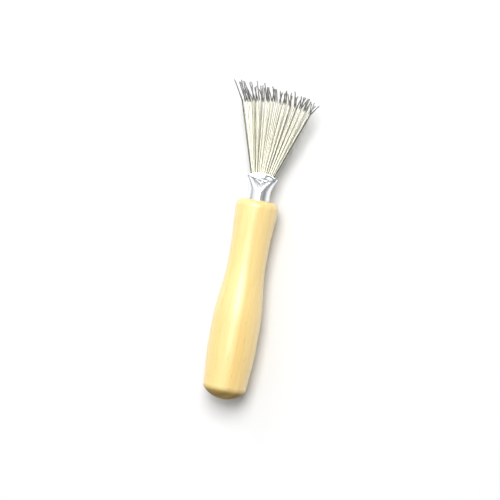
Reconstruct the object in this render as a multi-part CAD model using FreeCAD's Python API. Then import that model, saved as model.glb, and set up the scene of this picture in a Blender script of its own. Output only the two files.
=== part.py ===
"""Hand wire rake: a turned wooden handle, a crimped aluminium ferrule and a fan of bent steel wires.

Frame, in millimetres: X runs along the handle axis towards the wires, Y across the fan,
and Z is the side to which the wire ends are bent. The origin is on the handle axis, at
the middle of the straight land of the grip.
"""

import FreeCAD
import Part

import math
import os
import random

Vector = FreeCAD.Vector

# ---------------------------------------------------------------- driving dimensions
# Handle, a solid of revolution. Distances are from the tip of the domed butt.
HANDLE_LENGTH = 84.0
DOME_HEIGHT = 4.2
BUTT_RADIUS = 8.9
BUTT_SLOPE = 0.075  # rise of the side per millimetre, just past the dome
SHOULDER_ROUND = 1.1
GRIP_START = 22.5
GRIP_LENGTH = 9.0
GRIP_RADIUS = 10.15
WAIST_START = 58.0
WAIST_LENGTH = 6.0
WAIST_RADIUS = 8.0
RIM_RADIUS = 9.0
RIM_SLOPE = 0.05
RIM_ROUND = 3.0

# Wires, in rows that lie across the fan, every second row shorter by one wire.
WIRE_DIAMETER = 0.5
WIRE_ROWS = 4
WIRES_IN_LONG_ROW = 14
WIRE_GAP = 0.06  # between neighbours in a row, inside the round tube
ROW_GAP = 0.05
STEM_DEPTH = 3.0  # how far the wires reach below the face of the handle
SHAFT_LENGTH = 34.8  # from the splay inside the ferrule to the bend
SHAFT_EDGE_DROP = 0.5  # shorter at the edges of the fan
FAN_HALF_ANGLE = 18.9
FAN_SKEW = -1.35
ROW_SPACING_AT_BEND = 1.0
TIP_LENGTH = 6.8
TIP_LENGTH_TREND = 1.8  # longer on the +Y side, shorter on the -Y side
TIP_LENGTH_EDGE = 2.6  # longer at both edges of the fan
TIP_ANGLE = 48.0
TIP_ANGLE_TREND = -8.0
SPLAY_BEND_RADIUS = 12.0  # in the plane of the fan, inside the ferrule
LIP_BEND_RADIUS = 25.0  # out of that plane, where the rows part at the mouth
TIP_BEND_RADIUS = 1.2
HOOKED_END_EVERY = 7  # one wire in so many has a small second kink at its end
HOOKED_END_LENGTH = 1.2
HOOKED_END_RADIUS = 0.8

# Hand-made scatter of the wires: largest departure each way.
SCATTER_SEED = 60
SCATTER_FAN_ANGLE = 0.65
SCATTER_BEND_PLACE = 0.45
SCATTER_ROW_HEIGHT = 0.12
SCATTER_TIP_LENGTH = 1.6
SCATTER_TIP_ANGLE = 6.0
SCATTER_TIP_SIDE = 13.0
SCATTER_HOOK = 32.0
LEAST_AIR = 0.03  # between any two wires
MOST_DRAWS = 20

# Ferrule, a tube whose free end is pressed flat round the wires.
FERRULE_WALL = 0.4
SOCKET_DEPTH = 14.0
FERRULE_REACH = 11.5  # from the face of the handle to the crown of the mouth
MOUTH_CROWN = 1.7  # how far the corners of the mouth fall behind its crown
FLARE_START = 3.6  # from the face of the handle
FLARE_SOFTNESS = 1.2
PRESS_SOFTNESS = 0.25  # how gradually the pressed walls level off towards the mouth
MOUTH_SIDE_ROOM = 0.15  # beside the outermost wire

# Adhesive that fills the socket and locks the wires.
GLUE_POCKET = 2.0  # below the inner end of the ferrule
GLUE_REACH = 2.5  # above the face of the handle
DRILL_POINT_ANGLE = 118.0

# Fits.
CRIMP_CLEARANCE = 0.03  # wires to the pressed walls
TUBE_CLEARANCE = 0.05  # wires to the round tube
SOCKET_CLEARANCE = 0.05  # ferrule to the bore of the handle
GLUE_CLEARANCE = 0.02  # adhesive to what it fills

# ---------------------------------------------------------------- derived sizes
BUTT_X = -(GRIP_START + GRIP_LENGTH / 2)
FACE_X = BUTT_X + HANDLE_LENGTH
WIRE_RADIUS = WIRE_DIAMETER / 2
WIRE_PITCH = WIRE_DIAMETER + WIRE_GAP
ROW_PITCH = WIRE_DIAMETER + ROW_GAP
OUTER_INDEX = (WIRES_IN_LONG_ROW - 1) / 2
STACK_HALF_WIDTH = OUTER_INDEX * WIRE_PITCH + WIRE_RADIUS
STACK_HALF_HEIGHT = (WIRE_ROWS - 1) / 2 * ROW_PITCH + WIRE_RADIUS

# The round tube just holds the stack of wires.
TUBE_BORE = math.hypot(STACK_HALF_WIDTH, STACK_HALF_HEIGHT) + TUBE_CLEARANCE
TUBE_RADIUS = TUBE_BORE + FERRULE_WALL
SOCKET_RADIUS = TUBE_RADIUS + SOCKET_CLEARANCE

# Pressing a tube flat keeps its girth: 4 a + (2 pi - 4) b = 2 pi r.
GIRTH = 2 * math.pi * TUBE_RADIUS
MOUTH_HALF_HEIGHT = STACK_HALF_HEIGHT + CRIMP_CLEARANCE + FERRULE_WALL
MOUTH_HALF_WIDTH = (GIRTH - (2 * math.pi - 4) * MOUTH_HALF_HEIGHT) / 4
FLARE_LENGTH = FERRULE_REACH - MOUTH_CROWN - FLARE_START

# The wires splay from where the outermost one just reaches the side of the mouth.
WIDEST_ANGLE = math.radians(FAN_HALF_ANGLE + abs(FAN_SKEW) + SCATTER_FAN_ANGLE)
SIDE_STEP = MOUTH_HALF_WIDTH - FERRULE_WALL - MOUTH_SIDE_ROOM - STACK_HALF_WIDTH
SPLAY_RUN = SIDE_STEP / math.tan(WIDEST_ANGLE)
SPLAY_X = FACE_X + FERRULE_REACH - SPLAY_RUN


# ---------------------------------------------------------------- helpers
def bezier_stretch(x0, r0, slope0, x1, r1, slope1):
    """A cubic stretch of outline from (x0, r0) to (x1, r1) with the slopes given."""
    third = (x1 - x0) / 3
    curve = Part.BezierCurve()
    curve.setPoles(
        [
            Vector(x0, 0, r0),
            Vector(x0 + third, 0, r0 + third * slope0),
            Vector(x1 - third, 0, r1 - third * slope1),
            Vector(x1, 0, r1),
        ]
    )
    return curve.toShape()


def line(a, b):
    return Part.LineSegment(a, b).toShape()


def revolved(edges):
    """The solid that a closed outline in the XZ plane sweeps about the X axis."""
    face = Part.Face(Part.Wire(edges))
    return face.revolve(Vector(0, 0, 0), Vector(1, 0, 0), 360)


def cylinder_x(radius, x0, x1, y=0.0, z=0.0):
    return Part.makeCylinder(radius, x1 - x0, Vector(x0, y, z), Vector(1, 0, 0))


def rounded_path(points, radii):
    """Straight runs through points, with a tangent arc of the given radius at each inner one."""
    edges = []
    start = points[0]
    for i, radius in enumerate(radii, 1):
        back = (points[i - 1] - points[i]).normalize()
        ahead = (points[i + 1] - points[i]).normalize()
        half_turn = (math.pi - back.getAngle(ahead)) / 2
        reach = radius * math.tan(half_turn)
        first, last = points[i] + back * reach, points[i] + ahead * reach
        inwards = (back + ahead).normalize()
        crown = points[i] + inwards * (radius / math.cos(half_turn) - radius)
        edges.append(line(start, first))
        edges.append(Part.Arc(first, crown, last).toShape())
        start = last
    edges.append(line(start, points[-1]))
    return Part.Wire(edges)


# ---------------------------------------------------------------- handle
def make_handle():
    def at(distance):
        return BUTT_X + distance

    butt = Vector(at(0), 0, 0)
    shoulder = Vector(at(DOME_HEIGHT), 0, BUTT_RADIUS)
    dome_radius = (DOME_HEIGHT**2 + BUTT_RADIUS**2) / (2 * DOME_HEIGHT)
    half_way = math.asin(BUTT_RADIUS / dome_radius) / 2
    on_dome = Vector(
        at(dome_radius * (1 - math.cos(half_way))),
        0,
        dome_radius * math.sin(half_way),
    )
    grip_end, waist_end = GRIP_START + GRIP_LENGTH, WAIST_START + WAIST_LENGTH
    rim_start = HANDLE_LENGTH - RIM_ROUND
    corner = RIM_ROUND * math.sqrt(0.5)
    bore_end = FACE_X - SOCKET_DEPTH - GLUE_POCKET
    point_depth = SOCKET_RADIUS / math.tan(math.radians(DRILL_POINT_ANGLE / 2))
    outline = [
        Part.Arc(butt, on_dome, shoulder).toShape(),
        bezier_stretch(shoulder.x, BUTT_RADIUS, BUTT_SLOPE, at(GRIP_START), GRIP_RADIUS, 0),
        line(Vector(at(GRIP_START), 0, GRIP_RADIUS), Vector(at(grip_end), 0, GRIP_RADIUS)),
        bezier_stretch(at(grip_end), GRIP_RADIUS, 0, at(WAIST_START), WAIST_RADIUS, 0),
        line(Vector(at(WAIST_START), 0, WAIST_RADIUS), Vector(at(waist_end), 0, WAIST_RADIUS)),
        bezier_stretch(at(waist_end), WAIST_RADIUS, 0, at(rim_start), RIM_RADIUS, RIM_SLOPE),
        Part.Arc(
            Vector(at(rim_start), 0, RIM_RADIUS),
            Vector(at(rim_start) + corner, 0, RIM_RADIUS - RIM_ROUND + corner),
            Vector(FACE_X, 0, RIM_RADIUS - RIM_ROUND),
        ).toShape(),
        line(Vector(FACE_X, 0, RIM_RADIUS - RIM_ROUND), Vector(FACE_X, 0, SOCKET_RADIUS)),
        line(Vector(FACE_X, 0, SOCKET_RADIUS), Vector(bore_end, 0, SOCKET_RADIUS)),
        line(Vector(bore_end, 0, SOCKET_RADIUS), Vector(bore_end - point_depth, 0, 0)),
        line(Vector(bore_end - point_depth, 0, 0), butt),
    ]
    handle = revolved(outline)
    shoulder_edges = [
        edge
        for edge in handle.Edges
        if not edge.Degenerated
        and abs(edge.BoundBox.XMin - shoulder.x) < 0.01
        and abs(edge.BoundBox.XMax - shoulder.x) < 0.01
    ]
    return handle.makeFillet(SHOULDER_ROUND, shoulder_edges)


# ---------------------------------------------------------------- ferrule
def flattening(x):
    """Outer half width and half height of the ferrule at x, pressed flat at constant girth."""
    along = max(0.0, x - FACE_X - FLARE_START)

    def spread(t):
        return math.hypot(t, FLARE_SOFTNESS) - FLARE_SOFTNESS

    def levelled(height):
        spare = height - MOUTH_HALF_HEIGHT
        return (spare + math.hypot(spare, PRESS_SOFTNESS)) / 2

    slope = (MOUTH_HALF_WIDTH - TUBE_RADIUS) / spread(FLARE_LENGTH)
    half_width = TUBE_RADIUS + slope * spread(along)
    half_height = (GIRTH - 4 * half_width) / (2 * math.pi - 4)
    return half_width, TUBE_RADIUS + levelled(half_height) - levelled(TUBE_RADIUS)


def flat_oval(x, half_width, half_height, count=40):
    """A closed curve round a bar of two flats and two half circles, in the plane at x."""
    flat = half_width - half_height
    girth = 4 * flat + 2 * math.pi * half_height
    points = []
    for i in range(count):
        s = (i + 0.5) / count * girth
        side = 0 if s < girth / 2 else 1
        s -= side * girth / 2
        sign = 1 - 2 * side
        if s < flat:
            y, z = s, half_height
        elif s < flat + math.pi * half_height:
            turn = (s - flat) / half_height
            y = flat + half_height * math.sin(turn)
            z = half_height * math.cos(turn)
        else:
            y, z = 2 * flat + math.pi * half_height - s, -half_height
        points.append(Vector(x, sign * y, sign * z))
    curve = Part.BSplineCurve()
    curve.interpolate(Points=points, PeriodicFlag=True)
    return Part.Wire(curve.toShape())


def flaring_bar(inset, x0, x1, sections=22):
    """The solid inside the ferrule's outer skin, drawn in by inset, from x0 to x1."""
    wires = []
    for i in range(sections):
        x = x0 + (x1 - x0) * i / (sections - 1)
        half_width, half_height = flattening(x)
        wires.append(flat_oval(x, half_width - inset, half_height - inset))
    return Part.makeLoft(wires, True, False)


def make_ferrule():
    inner_end, crown = FACE_X - SOCKET_DEPTH, FACE_X + FERRULE_REACH
    run_out = 2.0
    skin = flaring_bar(0.0, inner_end, crown + run_out)
    hollow = flaring_bar(FERRULE_WALL, inner_end, crown + run_out)
    mouth_radius = (MOUTH_HALF_WIDTH**2 + MOUTH_CROWN**2) / (2 * MOUTH_CROWN)
    height = 4 * TUBE_RADIUS
    rounder = Part.makeCylinder(
        mouth_radius,
        height,
        Vector(crown - mouth_radius, 0, -height / 2),
        Vector(0, 0, 1),
    )
    behind = Part.makeBox(
        FERRULE_REACH + SOCKET_DEPTH - MOUTH_CROWN,
        height,
        height,
        Vector(inner_end, -height / 2, -height / 2),
    )
    return skin.cut(hollow).common(rounder.fuse(behind))


# ---------------------------------------------------------------- wires
def wire_points(row, place, scatter, share):
    """Corner points of one wire's centre line, and the bend radius at each inner one.

    Each place and angle departs from the even fan by up to the given share of its scatter.
    """

    def off(largest):
        return share * scatter.uniform(-largest, largest)

    wires = WIRES_IN_LONG_ROW - row % 2
    level = (WIRE_ROWS - 1) / 2 - row
    index = (wires - 1) / 2 - place
    side = index / OUTER_INDEX

    angle = math.radians(FAN_HALF_ANGLE * side + FAN_SKEW + off(SCATTER_FAN_ANGLE))
    z = level * ROW_PITCH
    stem_end = Vector(FACE_X - STEM_DEPTH, index * WIRE_PITCH, z)
    splay = Vector(SPLAY_X, index * WIRE_PITCH, z)
    heading = Vector(math.cos(angle), math.sin(angle), 0)
    lip = splay + heading * (SPLAY_RUN / heading.x)
    bend = splay + heading * (SHAFT_LENGTH - SHAFT_EDGE_DROP * side**2 + off(SCATTER_BEND_PLACE))
    bend.z = level * ROW_SPACING_AT_BEND + off(SCATTER_ROW_HEIGHT)

    rise = math.radians(TIP_ANGLE + TIP_ANGLE_TREND * side + off(SCATTER_TIP_ANGLE))
    aside = angle + math.radians(off(SCATTER_TIP_SIDE))
    forwards = math.cos(aside)
    tip_way = Vector(forwards * math.cos(rise), math.sin(aside), forwards * math.sin(rise))
    length = TIP_LENGTH + TIP_LENGTH_TREND * side + TIP_LENGTH_EDGE * side**4
    tip = bend + tip_way * (length + off(SCATTER_TIP_LENGTH))
    points = [stem_end, splay, lip, bend, tip]
    radii = [SPLAY_BEND_RADIUS, LIP_BEND_RADIUS, TIP_BEND_RADIUS]
    if (row * WIRES_IN_LONG_ROW + place) % HOOKED_END_EVERY == 2:
        hook = FreeCAD.Rotation(Vector(0, 0, 1), off(SCATTER_HOOK))
        points.append(tip + hook.multVec(tip_way) * HOOKED_END_LENGTH)
        radii.append(HOOKED_END_RADIUS)
    return points, radii


def lay_wires():
    """Name, corner points and centre line of each wire, none nearer another than LEAST_AIR.

    Rows are numbered from the +Z side and wires from the +Y side. A wire that would press
    into one already laid is drawn again, each time with a little less scatter.
    """
    scatter = random.Random(SCATTER_SEED)
    laid = []
    for row in range(WIRE_ROWS):
        for place in range(WIRES_IN_LONG_ROW - row % 2):
            for draw in range(MOST_DRAWS + 1):
                points, radii = wire_points(row, place, scatter, 1 - draw / MOST_DRAWS)
                path = rounded_path(points, radii)
                reach = path.BoundBox
                reach.enlarge(WIRE_DIAMETER + LEAST_AIR)
                near = [other for _, _, other in laid if reach.intersect(other.BoundBox)]
                if all(path.distToShape(n)[0] >= WIRE_DIAMETER + LEAST_AIR for n in near):
                    break
            laid.append((f"wire_row{row + 1}_{place + 1:02d}", points, path))
    return laid


def make_wire(points, path):
    circle = Part.Circle(points[0], points[1] - points[0], WIRE_RADIUS)
    return path.makePipeShell([Part.Wire(circle.toShape())], True, False)


# ---------------------------------------------------------------- adhesive
def make_glue(wires):
    """Cured adhesive: a cone and disc in the end of the bore, and a plug round the stems."""
    tube_end = FACE_X - SOCKET_DEPTH
    bore_end = tube_end - GLUE_POCKET
    radius = SOCKET_RADIUS - GLUE_CLEARANCE
    point_depth = radius / math.tan(math.radians(DRILL_POINT_ANGLE / 2))
    disc = cylinder_x(radius, bore_end, tube_end - GLUE_CLEARANCE)
    cone = Part.makeCone(
        radius, 0, point_depth, Vector(bore_end, 0, 0), Vector(-1, 0, 0)
    )
    plug = cylinder_x(TUBE_BORE - GLUE_CLEARANCE, bore_end, FACE_X + GLUE_REACH)
    holes = [
        cylinder_x(
            WIRE_RADIUS + GLUE_CLEARANCE,
            FACE_X - STEM_DEPTH - GLUE_CLEARANCE,
            FACE_X + GLUE_REACH + 1.0,
            points[0].y,
            points[0].z,
        )
        for _, points, _ in wires
    ]
    return disc.fuse([cone, plug]).removeSplitter().cut(holes)


# ---------------------------------------------------------------- build
def export(name, shape):
    if not shape.isValid():
        raise ValueError(f"{name} is not a valid solid")
    solids = shape.Solids
    if len(solids) == 1:
        shape = solids[0]
    shape.exportStep(f"parts/{name}.step")


def main():
    os.makedirs("parts", exist_ok=True)
    wires = lay_wires()
    export("handle", make_handle())
    export("ferrule", make_ferrule())
    export("adhesive_plug", make_glue(wires))
    for name, points, path in wires:
        export(name, make_wire(points, path))
    print(
        f"tube {2 * TUBE_RADIUS:.2f} across, mouth {2 * MOUTH_HALF_WIDTH:.2f} by "
        f"{2 * MOUTH_HALF_HEIGHT:.2f}, {len(wires)} wires"
    )


main()
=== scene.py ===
"""Looks of the hand wire rake: varnished beech handle, crimped aluminium ferrule, bright steel wires.

Everything is in metres, in the frame of the CAD model: +X runs along the handle towards
the wires, +Y across the fan, and +Z is the side that the wire ends are bent to.
"""

import math
import random

import bpy
from mathutils import Matrix, Vector


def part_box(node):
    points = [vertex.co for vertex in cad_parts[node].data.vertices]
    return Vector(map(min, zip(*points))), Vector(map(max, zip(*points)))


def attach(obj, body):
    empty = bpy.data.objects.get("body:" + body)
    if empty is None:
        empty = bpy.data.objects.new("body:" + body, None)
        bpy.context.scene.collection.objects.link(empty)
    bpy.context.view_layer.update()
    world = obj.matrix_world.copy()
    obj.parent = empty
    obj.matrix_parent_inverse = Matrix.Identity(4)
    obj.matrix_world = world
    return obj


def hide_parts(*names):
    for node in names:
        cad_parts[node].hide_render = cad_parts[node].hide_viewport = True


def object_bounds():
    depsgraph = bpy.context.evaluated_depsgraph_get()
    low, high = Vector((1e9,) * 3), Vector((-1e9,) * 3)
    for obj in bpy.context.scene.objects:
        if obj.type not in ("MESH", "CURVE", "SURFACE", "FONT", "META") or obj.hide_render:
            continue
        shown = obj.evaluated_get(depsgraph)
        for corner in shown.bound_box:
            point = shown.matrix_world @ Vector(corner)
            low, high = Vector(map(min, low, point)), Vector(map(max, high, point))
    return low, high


MM = 0.001

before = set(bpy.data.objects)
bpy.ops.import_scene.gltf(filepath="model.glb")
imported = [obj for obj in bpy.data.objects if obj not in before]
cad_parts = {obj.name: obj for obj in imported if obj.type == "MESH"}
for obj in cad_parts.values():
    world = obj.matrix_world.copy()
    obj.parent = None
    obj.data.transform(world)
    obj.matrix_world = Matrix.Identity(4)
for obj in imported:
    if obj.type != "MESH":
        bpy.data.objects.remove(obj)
cad_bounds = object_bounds()

HANDLE_LOW, HANDLE_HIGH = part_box("handle")
FACE_X = HANDLE_HIGH.x
FLOOR_Z = cad_bounds[0][2]
WIRES = sorted(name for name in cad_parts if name.startswith("wire_"))
FAN_APEX = Vector((FACE_X - 3.6 * MM, 0.0, 0.0))  # where the shafts would meet
BEND_RADIUS = 45.3 * MM  # from there to where the wire ends turn up
BEND_BLUR = 0.8 * MM  # over which the colour of the shaft gives way to the painted shade of the end
TIP_SHADE_FADE = 7.0 * MM  # over which the painted shade on the turned-up ends goes from dark to grey
SHOULDER_X = HANDLE_LOW.x + 4.2 * MM  # where the side of the handle meets its domed end
PRESSED = "pressed"  # the attribute that says how deep the crimping jaws marked the ferrule

# ---------------------------------------------------------------- camera
LEAN = math.radians(10.2)  # the handle axis leans to the right of upright by this much
ROLL = math.radians(11.0)  # and the camera stands this far round the axis, on the -Y side
VIEW_DISTANCE = 0.75
VIEW_CENTRE = Vector((FACE_X - 20.9 * MM, -0.3 * MM, 0.0))
VIEW_WIDTH = 208.3 * MM  # what the frame takes in at the handle axis


def place_camera():
    towards = Vector((0.0, -math.sin(ROLL), math.cos(ROLL)))
    along = Vector((1.0, 0.0, 0.0))
    across = along.cross(towards)
    up = along * math.cos(LEAN) - across * math.sin(LEAN)
    right = along * math.sin(LEAN) + across * math.cos(LEAN)
    data = bpy.data.cameras.new("camera")
    data.sensor_width = 36.0
    data.lens = data.sensor_width * VIEW_DISTANCE / VIEW_WIDTH
    data.clip_start = 0.01
    camera = bpy.data.objects.new("camera", data)
    turn = Matrix((right, up, towards)).transposed().to_4x4()
    camera.matrix_world = Matrix.Translation(VIEW_CENTRE + towards * VIEW_DISTANCE) @ turn
    bpy.context.scene.collection.objects.link(camera)
    bpy.context.scene.camera = camera


place_camera()


# ---------------------------------------------------------------- node helpers
def new_material(name):
    """A material, its node tree and its shader."""
    material = bpy.data.materials.new(name)
    material.use_nodes = True
    tree = material.node_tree
    return material, tree, tree.nodes["Principled BSDF"]


def add(tree, kind, inputs=None, **settings):
    """A node of the kind given. Each input is a value, or the output socket to link it to."""
    node = tree.nodes.new("ShaderNode" + kind)
    for key, value in settings.items():
        setattr(node, key, value)
    for key, value in (inputs or {}).items():
        if isinstance(value, bpy.types.NodeSocket):
            tree.links.new(value, node.inputs[key])
        else:
            node.inputs[key].default_value = value
    return node


def ramp(tree, factor, *stops):
    """A colour ramp through (position, grey or colour) stops."""
    node = add(tree, "ValToRGB", {"Fac": factor})
    elements = node.color_ramp.elements
    while len(elements) < len(stops):
        elements.new(0.5)
    for element, (position, colour) in zip(elements, stops):
        element.position = position
        if isinstance(colour, (int, float)):
            colour = (colour, colour, colour)
        element.color = (*colour, 1.0)
    return node.outputs["Color"]


def mix(tree, factor, a, b):
    """From colour a to colour b by the factor. Each is a value or an output socket."""
    node = add(tree, "Mix", data_type="RGBA")
    for index, value in ((0, factor), (6, a), (7, b)):
        if isinstance(value, bpy.types.NodeSocket):
            tree.links.new(value, node.inputs[index])
        elif index == 0:
            node.inputs[index].default_value = value
        else:
            node.inputs[index].default_value = (*value, 1.0)
    return node.outputs[2]


def stretched(tree, scale, offset=(0.0, 0.0, 0.0)):
    """Object coordinates in metres, scaled separately along X, Y and Z, then offset."""
    coordinates = add(tree, "TexCoord").outputs["Object"]
    mapping = add(tree, "Mapping", {"Vector": coordinates, "Location": offset, "Scale": scale})
    return mapping.outputs["Vector"]


def noise(tree, scale, detail=3.0, roughness=0.5, distortion=0.0):
    """Noise from 0 to 1, with this many features per metre along X, Y and Z."""
    node = add(
        tree,
        "TexNoise",
        {
            "Vector": stretched(tree, scale),
            "Scale": 1.0,
            "Detail": detail,
            "Roughness": roughness,
            "Distortion": distortion,
        },
    )
    return node.outputs["Fac"]


def bump(tree, height, depth, normal=None):
    """A bump of the depth given, in metres, for a height from 0 to 1."""
    inputs = {"Height": height, "Strength": 1.0, "Distance": depth}
    if normal is not None:
        inputs["Normal"] = normal
    return add(tree, "Bump", inputs).outputs["Normal"]


# ---------------------------------------------------------------- materials
def varnished_wood():
    """Pale beech with soft growth rings, fine grain and short pores along X.

    Clear varnish lies on the side. The domed end is bare end grain, its darker colour partly real and
    partly painted shade.
    """
    material, tree, shader = new_material("varnished_wood")
    rings_at = stretched(tree, (1.2, 30.0, 30.0), offset=(0.0, 0.5, 0.9))
    wobble = noise(tree, (8.0, 60.0, 60.0), detail=2.0)
    rings = add(
        tree,
        "TexWave",
        {
            "Vector": rings_at,
            "Scale": 2.2,
            "Distortion": 2.4,
            "Detail": 2.0,
            "Detail Scale": 0.8,
            "Phase Offset": wobble,
        },
        wave_type="RINGS",
        rings_direction="X",
    ).outputs["Fac"]
    grain = noise(tree, (30.0, 900.0, 900.0), detail=4.0, roughness=0.6)
    pores = noise(tree, (260.0, 3400.0, 3400.0), detail=1.0)
    cloud = noise(tree, (18.0, 70.0, 70.0), detail=2.0)

    pale, deep = (0.87, 0.65, 0.25), (0.83, 0.56, 0.19)
    colour = mix(tree, ramp(tree, rings, (0.1, 0.0), (0.95, 0.6)), pale, deep)
    colour = mix(tree, ramp(tree, cloud, (0.35, 0.0), (0.75, 0.5)), colour, (0.90, 0.72, 0.33))
    colour = mix(tree, ramp(tree, grain, (0.45, 0.0), (0.8, 0.40)), colour, (0.70, 0.45, 0.14))
    pore_mask = ramp(tree, pores, (0.68, 0.0), (0.78, 0.6))
    colour = mix(tree, pore_mask, colour, (0.50, 0.28, 0.09))
    x = add(tree, "SeparateXYZ", {"Vector": add(tree, "TexCoord").outputs["Object"]}).outputs["X"]
    end_grain_and_shade = add(
        tree,
        "MapRange",
        {"Value": x, "From Min": SHOULDER_X + 1.6 * MM, "From Max": SHOULDER_X - 1.2 * MM},
    ).outputs["Result"]
    # The dome's dark colour is partly real end grain and partly painted shade.
    ring_mask = ramp(tree, rings, (0.3, 0.0), (0.8, 0.8))
    end_grain_and_shade_colour = mix(tree, ring_mask, (0.37, 0.25, 0.065), (0.27, 0.175, 0.045))
    flecks = noise(tree, (400.0, 1500.0, 1500.0), detail=3.0)
    end_grain_and_shade_colour = mix(tree, ramp(tree, flecks, (0.5, 0.0), (0.75, 0.6)), end_grain_and_shade_colour, (0.18, 0.115, 0.032))
    colour = mix(tree, end_grain_and_shade, colour, end_grain_and_shade_colour)
    tree.links.new(colour, shader.inputs["Base Color"])
    rough = mix(tree, end_grain_and_shade, ramp(tree, grain, (0.3, 0.40), (0.8, 0.52)), (0.85, 0.85, 0.85))
    tree.links.new(rough, shader.inputs["Roughness"])
    shader.inputs["Specular IOR Level"].default_value = 0.4
    coat = ramp(tree, end_grain_and_shade, (0.0, 1.0), (1.0, 0.0))
    tree.links.new(coat, shader.inputs["Coat Weight"])
    shader.inputs["Coat Roughness"].default_value = 0.36
    shader.inputs["Coat IOR"].default_value = 1.7
    shader.inputs["Subsurface Weight"].default_value = 0.12
    shader.inputs["Subsurface Radius"].default_value = (1.0, 0.55, 0.2)
    shader.inputs["Subsurface Scale"].default_value = 1.2 * MM
    normal = bump(tree, grain, 0.02 * MM)
    normal = bump(tree, ramp(tree, pores, (0.68, 1.0), (0.8, 0.0)), 0.02 * MM, normal)
    tree.links.new(normal, shader.inputs["Normal"])
    return material


def bright_aluminium():
    """Polished tube with lengthwise draw lines and small scuffs, duller where pressed, with painted
    shade darkening the jaw marks.
    """
    material, tree, shader = new_material("bright_aluminium")
    draw = noise(tree, (60.0, 2600.0, 2600.0), detail=3.0, roughness=0.6)
    scuffs = noise(tree, (900.0, 500.0, 900.0), detail=3.0, distortion=0.8)
    scuff_mask = ramp(tree, scuffs, (0.55, 0.0), (0.75, 0.5))
    colour = mix(tree, scuff_mask, (0.90, 0.93, 0.96), (0.74, 0.77, 0.80))
    pressed = add(tree, "Attribute", attribute_name=PRESSED).outputs["Fac"]
    pressed_dull_and_shade_mask = ramp(tree, pressed, (0.1, 0.0), (0.8, 1.0))
    # Painted shade: the jaw marks are darkened in colour, on top of their real dents and duller finish.
    colour = mix(tree, pressed_dull_and_shade_mask, colour, (0.19, 0.21, 0.215))
    tree.links.new(colour, shader.inputs["Base Color"])
    shader.inputs["Metallic"].default_value = 1.0
    rough = ramp(tree, draw, (0.3, 0.25), (0.8, 0.39))
    rough = mix(tree, pressed_dull_and_shade_mask, rough, (0.6, 0.6, 0.6))
    tree.links.new(rough, shader.inputs["Roughness"])
    normal = bump(tree, draw, 0.012 * MM)
    normal = bump(tree, scuffs, 0.03 * MM, normal)
    tree.links.new(normal, shader.inputs["Normal"])
    return material


def steel_wire(name, bright, dull):
    """Drawn steel wire of a given tone, with painted shade and reflection on the ends: dark at the bend
    and grey towards the cut end.
    """
    material, tree, shader = new_material(name)
    flat = stretched(tree, (1.0, 1.0, 0.0), offset=-FAN_APEX)
    reach = add(tree, "VectorMath", {"Vector": flat}, operation="LENGTH").outputs["Value"]
    past_bend = add(
        tree,
        "MapRange",
        {"Value": reach, "From Min": BEND_RADIUS, "From Max": BEND_RADIUS + BEND_BLUR},
    ).outputs["Result"]
    to_end = add(
        tree,
        "MapRange",
        {"Value": reach, "From Min": BEND_RADIUS, "From Max": BEND_RADIUS + TIP_SHADE_FADE},
    ).outputs["Result"]
    streaks = noise(tree, (40.0, 2400.0, 2400.0), detail=2.0)
    shaft = mix(tree, ramp(tree, streaks, (0.35, 0.0), (0.7, 1.0)), bright, dull)
    # Painted shade and reflection on the turned-up end: dark at the bend, lighter towards the cut end.
    tip_shade_colour = ramp(tree, to_end, (0.0, (0.22, 0.22, 0.20)), (0.35, 0.55), (1.0, 0.70))
    tip_shade_colour = mix(tree, ramp(tree, streaks, (0.35, 0.0), (0.7, 0.4)), tip_shade_colour, (0.34, 0.34, 0.32))
    tree.links.new(mix(tree, past_bend, shaft, tip_shade_colour), shader.inputs["Base Color"])
    shader.inputs["Metallic"].default_value = 1.0
    rough = ramp(tree, streaks, (0.3, 0.28), (0.8, 0.42))
    tree.links.new(rough, shader.inputs["Roughness"])
    tree.links.new(bump(tree, streaks, 0.006 * MM), shader.inputs["Normal"])
    return material


def cured_resin():
    """Amber adhesive with a slightly uneven, glossy surface."""
    material, tree, shader = new_material("cured_resin")
    lumps = noise(tree, (500.0, 500.0, 500.0), detail=2.0)
    colour = mix(tree, lumps, (0.45, 0.30, 0.12), (0.62, 0.45, 0.20))
    tree.links.new(colour, shader.inputs["Base Color"])
    shader.inputs["Roughness"].default_value = 0.25
    tree.links.new(bump(tree, lumps, 0.1 * MM), shader.inputs["Normal"])
    return material


def floor_paint():
    """Plain pale matt studio paper."""
    material, tree, shader = new_material("floor_paper")
    fibre = noise(tree, (300.0, 300.0, 300.0), detail=2.0)
    colour = mix(tree, fibre, (0.75, 0.75, 0.75), (0.77, 0.77, 0.77))
    tree.links.new(colour, shader.inputs["Base Color"])
    shader.inputs["Roughness"].default_value = 0.9
    shader.inputs["Specular IOR Level"].default_value = 0.1
    return material


def assign(name, material):
    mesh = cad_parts[name].data
    mesh.materials.clear()
    mesh.materials.append(material)


# The pale, mid and dull tones vary at random; the fourth, near-black tone is painted shade on wires
# lying behind others.
STEELS = (
    steel_wire("steel_pale", (0.92, 0.91, 0.80), (0.83, 0.82, 0.70)),
    steel_wire("steel_mid", (0.87, 0.86, 0.74), (0.74, 0.73, 0.61)),
    steel_wire("steel_dull", (0.70, 0.69, 0.57), (0.52, 0.51, 0.40)),
    steel_wire("steel_painted_shade", (0.38, 0.37, 0.28), (0.22, 0.21, 0.15)),
)
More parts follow.
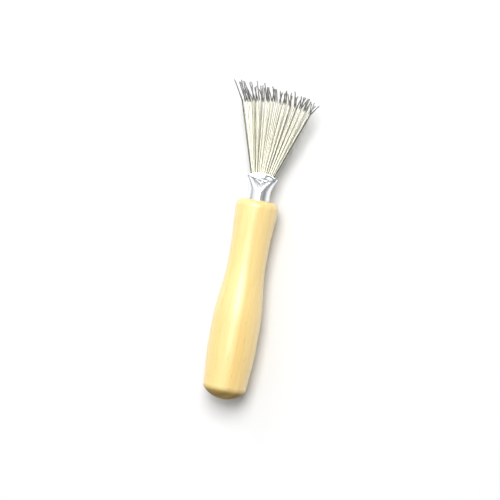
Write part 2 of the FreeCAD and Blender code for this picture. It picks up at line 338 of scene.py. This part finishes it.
# The two outermost wires are near black: painted shade on the edges of the fan.
EDGE_SHADE_STEEL = steel_wire("steel_edge_shade", (0.17, 0.17, 0.14), (0.10, 0.10, 0.08))
EDGE_WIRES = ("wire_row1_01", "wire_row1_14")
TONE_SEED = 11
FRONT_ROWS = ("wire_row1", "wire_row2")
FRONT_SHARES = (6, 5, 2, 0.6)  # of the four tones, in the two rows on the +Z side
BACK_SHADE_SHARES = (3, 5, 5, 1.5)  # and in the two rows behind them, weighted to the darker tones as painted shade
ALUMINIUM = bright_aluminium()
assign("handle", varnished_wood())
assign("ferrule", ALUMINIUM)
assign("adhesive_plug", cured_resin())
tones = random.Random(TONE_SEED)
for wire in WIRES:
    shares = FRONT_SHARES if wire.startswith(FRONT_ROWS) else BACK_SHADE_SHARES
    tone = tones.choices(STEELS, shares)[0]
    assign(wire, EDGE_SHADE_STEEL if wire in EDGE_WIRES else tone)


# ---------------------------------------------------------------- ferrule
TUBE_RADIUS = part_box("ferrule")[1].z
TUBE_WALL = 0.4 * MM
TUBE_END_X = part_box("ferrule")[0].x
CROWN_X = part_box("ferrule")[1].x
MOUTH_HALF_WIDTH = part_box("ferrule")[1].y
MOUTH_HALF_HEIGHT = 1.505 * MM
MOUTH_CROWN = 1.7 * MM  # how far the corners of the mouth fall behind its crown
FLARE_X = FACE_X + 3.6 * MM
FLARE_SOFTNESS = 1.2 * MM
PRESS_SOFTNESS = 0.25 * MM
LIP_ROUND = 0.12 * MM
AROUND = 240  # vertices in a ring
TUBE_RINGS = 10  # along the round stretch
FLARE_RINGS = 90  # along the flattened one
LIP_TURNS = (30, 60, 90)  # degrees, the rings that round each edge of the mouth

# Marks of the jaws. Places are distances behind the mouth's edge, and to one side of the middle.
DEEPEST_PRESS = 0.24 * MM
CREASE_PLACE = 4.5 * MM  # the point of a shallow V
CREASE_MIDDLE = -0.1 * MM
CREASE_SLOPE = 0.60
CREASE_WIDTH = 0.27 * MM
CREASE_END = 0.4 * MM  # where its arms stop short of the mouth's edge
BAND_PLACE = 3.0 * MM  # a slanted line across
BAND_MIDDLE = 1.0 * MM
BAND_SLOPE = 0.22
BAND_WIDTH = 0.24 * MM
BAND_HALF_LENGTH = 3.2 * MM
ARCH_PLACE = 1.9 * MM
ARCH_MIDDLE = -3.4 * MM
ARCH_LENGTH = 1.15 * MM  # half axes of the oval that it is part of
ARCH_BREADTH = 1.9 * MM
ARCH_WIDTH = 0.42  # of its line, as a share of those half axes


def flattening(x):
    """Outer half width and half height of the tube at x: round, then pressed flat at constant girth."""
    along = max(0.0, x - FLARE_X)
    girth = 2 * math.pi * TUBE_RADIUS

    def spread(t):
        return math.hypot(t, FLARE_SOFTNESS) - FLARE_SOFTNESS

    def levelled(height):
        spare = height - MOUTH_HALF_HEIGHT
        return (spare + math.hypot(spare, PRESS_SOFTNESS)) / 2

    slope = (MOUTH_HALF_WIDTH - TUBE_RADIUS) / spread(CROWN_X - MOUTH_CROWN - FLARE_X)
    half_width = TUBE_RADIUS + slope * spread(along)
    half_height = (girth - 4 * half_width) / (2 * math.pi - 4)
    return half_width, TUBE_RADIUS + levelled(half_height) - levelled(TUBE_RADIUS)


def oval_point(half_width, half_height, part):
    """A point, and its outward direction, a given part of the way round a flat-sided oval."""
    flat = half_width - half_height
    arc = math.pi * half_height
    s = part % 0.5 * (4 * flat + 2 * arc)
    sign = 1.0 if part % 1.0 < 0.5 else -1.0
    if s < flat:
        y, z, ny, nz = s, half_height, 0.0, 1.0
    elif s < flat + arc:
        turn = (s - flat) / half_height
        ny, nz = math.sin(turn), math.cos(turn)
        y, z = flat + half_height * ny, half_height * nz
    else:
        y, z, ny, nz = 2 * flat + arc - s, -half_height, 0.0, -1.0
    return sign * y, sign * z, sign * ny, sign * nz


def groove(distance, width):
    """1 on a groove's centre line, falling smoothly to 0 beside it."""
    return math.exp(-((distance / width) ** 2))


def fading(past, width):
    """1 well before a boundary and 0 well past it, half-way down on it."""
    return 1.0 / (1.0 + math.exp(past / width))


def press_marks(behind, y, up):
    """How deep the jaws pressed, from 0 to 1, at a distance behind the mouth's edge."""
    side = y if up else -y

    crease_line = CREASE_PLACE - CREASE_SLOPE * abs(side - CREASE_MIDDLE)
    crease = groove(behind - crease_line, CREASE_WIDTH) if crease_line > CREASE_END else 0.0
    crease *= fading(-side - 2.2 * MM, 0.4 * MM)  # one arm fades out beside the arch

    band = groove(behind - (BAND_PLACE - BAND_SLOPE * side), BAND_WIDTH)
    band *= fading(abs(side - BAND_MIDDLE) - BAND_HALF_LENGTH, 0.3 * MM)

    across = (side - ARCH_MIDDLE) / ARCH_BREADTH
    along = (behind - ARCH_PLACE) / ARCH_LENGTH
    arch = groove(math.hypot(across, along) - 1.0, ARCH_WIDTH)
    arch *= fading(along - 0.2 - 0.5 * max(0.0, -across), 0.15)  # open on the handle's side
    return min(1.0, 0.6 * crease + 0.7 * band + 0.85 * arch)


def lip_point(turn):
    """Plane, and distance in from the wall's face, of a point on the rounded lip."""
    turn = math.radians(turn)
    return CROWN_X - LIP_ROUND * (1 - math.sin(turn)), LIP_ROUND * (1 - math.cos(turn))


def crimped_ferrule():
    """The ferrule with rounded lips and the marks of the crimping jaws, as one closed skin."""
    tube_length = FLARE_X - TUBE_END_X
    flare_length = CROWN_X - LIP_ROUND - FLARE_X
    xs = [TUBE_END_X + tube_length * i / TUBE_RINGS for i in range(TUBE_RINGS)]
    xs += [FLARE_X + flare_length * i / FLARE_RINGS for i in range(FLARE_RINGS + 1)]
    mouth_radius = (MOUTH_HALF_WIDTH**2 + MOUTH_CROWN**2) / (2 * MOUTH_CROWN)
    # Each ring: its plane, how far it is drawn in from the outer skin, and whether it takes press marks.
    rings = [(x, 0.0, True) for x in xs]
    lip = [lip_point(turn) for turn in LIP_TURNS]
    rings += [(x, inset, True) for x, inset in lip]
    rings += [(x, TUBE_WALL - inset, False) for x, inset in [*reversed(lip), lip_point(0)]]
    rings += [(x, TUBE_WALL, False) for x in reversed(xs[:-1])]

    points, presses = [], []
    for x, inset, marked in rings:
        half_width, half_height = flattening(x)
        curl = min(1.0, max(0.0, (x - FLARE_X) / (CROWN_X - FLARE_X)))
        for i in range(AROUND):
            y, z, ny, nz = oval_point(half_width, half_height, (i + 0.5) / AROUND)
            fall = mouth_radius - math.sqrt(mouth_radius**2 - min(abs(y), MOUTH_HALF_WIDTH) ** 2)
            press = 0.0
            if marked and abs(nz) > 0.2:
                press = press_marks(CROWN_X - x, y, z > 0) * abs(nz)
            depth = inset + DEEPEST_PRESS * press
            presses.append(press)
            points.append((x - fall * curl**2, y - ny * depth, z - nz * depth))
    faces = []
    count = len(rings)
    for r in range(count):
        for i in range(AROUND):
            a, b = r * AROUND + i, r * AROUND + (i + 1) % AROUND
            c, d = (r + 1) % count * AROUND + (i + 1) % AROUND, (r + 1) % count * AROUND + i
            faces.append((a, b, c, d))
    mesh = bpy.data.meshes.new("ferrule_skin")
    mesh.from_pydata(points, [], faces)
    mesh.polygons.foreach_set("use_smooth", [True] * len(faces))
    mesh.attributes.new(PRESSED, "FLOAT", "POINT").data.foreach_set("value", presses)
    mesh.materials.append(ALUMINIUM)
    skin = bpy.data.objects.new("ferrule_skin", mesh)
    bpy.context.scene.collection.objects.link(skin)
    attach(skin, "root")
    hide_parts("ferrule")


crimped_ferrule()


# ---------------------------------------------------------------- floor and light
def lay_floor():
    reach = 3.0
    mesh = bpy.data.meshes.new("floor")
    corners = [(x * reach, y * reach, FLOOR_Z) for x, y in ((-1, -1), (1, -1), (1, 1), (-1, 1))]
    mesh.from_pydata(corners, [], [(0, 1, 2, 3)])
    mesh.materials.append(floor_paint())
    floor = bpy.data.objects.new("floor", mesh)
    bpy.context.scene.collection.objects.link(floor)


def softbox(name, place, size, power):
    """A square area light that faces the middle of the view."""
    data = bpy.data.lights.new(name, "AREA")
    data.shape = "SQUARE"
    data.size = size
    data.energy = power
    light = bpy.data.objects.new(name, data)
    light.location = Vector(place)
    light.rotation_euler = (VIEW_CENTRE - light.location).to_track_quat("-Z", "Y").to_euler()
    bpy.context.scene.collection.objects.link(light)


def light_world(low, high):
    """A white dome, with its strength at the horizon and high up."""
    world = bpy.data.worlds.new("studio")
    world.use_nodes = True
    tree = world.node_tree
    way = add(tree, "TexCoord").outputs["Generated"]
    height = add(tree, "SeparateXYZ", {"Vector": way}).outputs["Z"]
    strength = add(
        tree,
        "MapRange",
        {"Value": height, "From Min": 0.0, "From Max": 0.8, "To Min": low, "To Max": high},
    ).outputs["Result"]
    background = tree.nodes["Background"]
    background.inputs["Color"].default_value = (1.0, 1.0, 1.0, 1.0)
    tree.links.new(strength, background.inputs["Strength"])
    bpy.context.scene.world = world


lay_floor()
softbox("key", (0.52, -0.03, 1.0), 0.6, 12.4)
softbox("top", (0.08, 0.02, 1.2), 0.42, 2.2)
softbox("fill", (0.05, 0.70, 0.85), 1.25, 3.2)
softbox("side", (0.85, 0.70, 0.52), 0.6, 2.0)
light_world(0.34, 0.24)
bpy.context.scene.view_settings.view_transform = "Standard"
bpy.context.scene.view_settings.look = "None"
